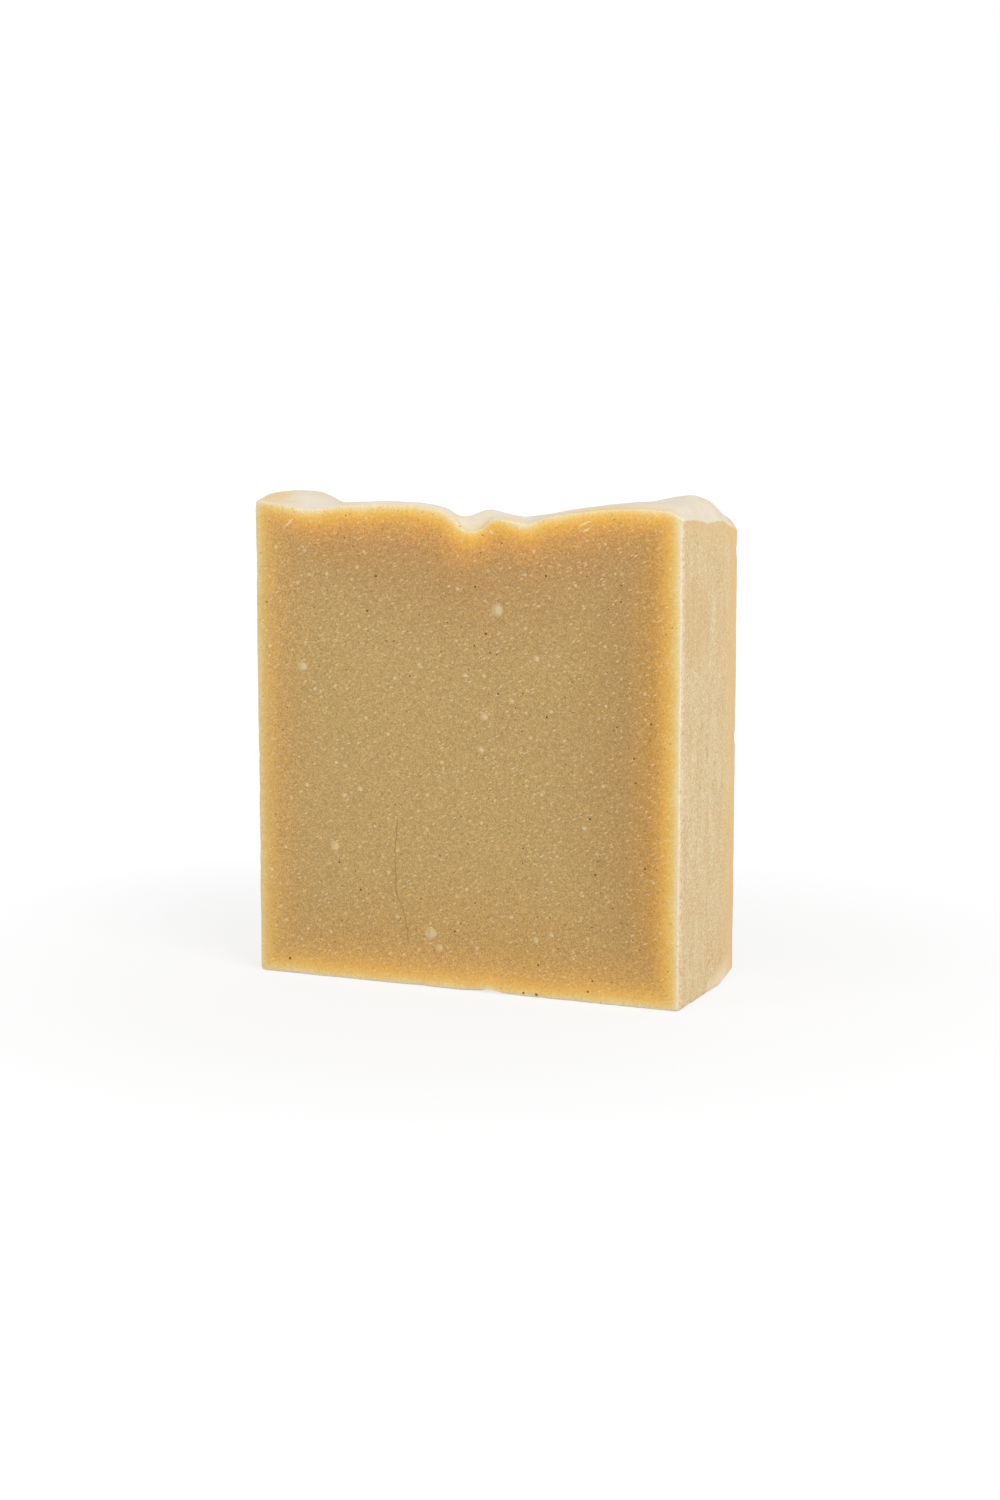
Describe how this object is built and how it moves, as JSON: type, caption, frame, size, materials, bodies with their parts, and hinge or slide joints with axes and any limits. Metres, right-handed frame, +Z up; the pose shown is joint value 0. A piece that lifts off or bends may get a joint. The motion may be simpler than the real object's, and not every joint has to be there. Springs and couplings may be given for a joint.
{
  "type": "bar of soap",
  "caption": "Upright block of cast soap: flat cut faces, smooth mould walls, worn edges and an uneven spooned top.",
  "frame": {"origin": "middle of the underside that the bar stands on", "axes": "+X across the slice to its right mould wall, +Y through its thickness from the front cut face to the back one, +Z up to the spooned top"},
  "size_m": [0.0692, 0.025, 0.0747],
  "materials": {
    "soap": "satin, waxy"
  },
  "bodies": {
    "root": {"soap_bar": "soap"}
  },
  "joints": []
}
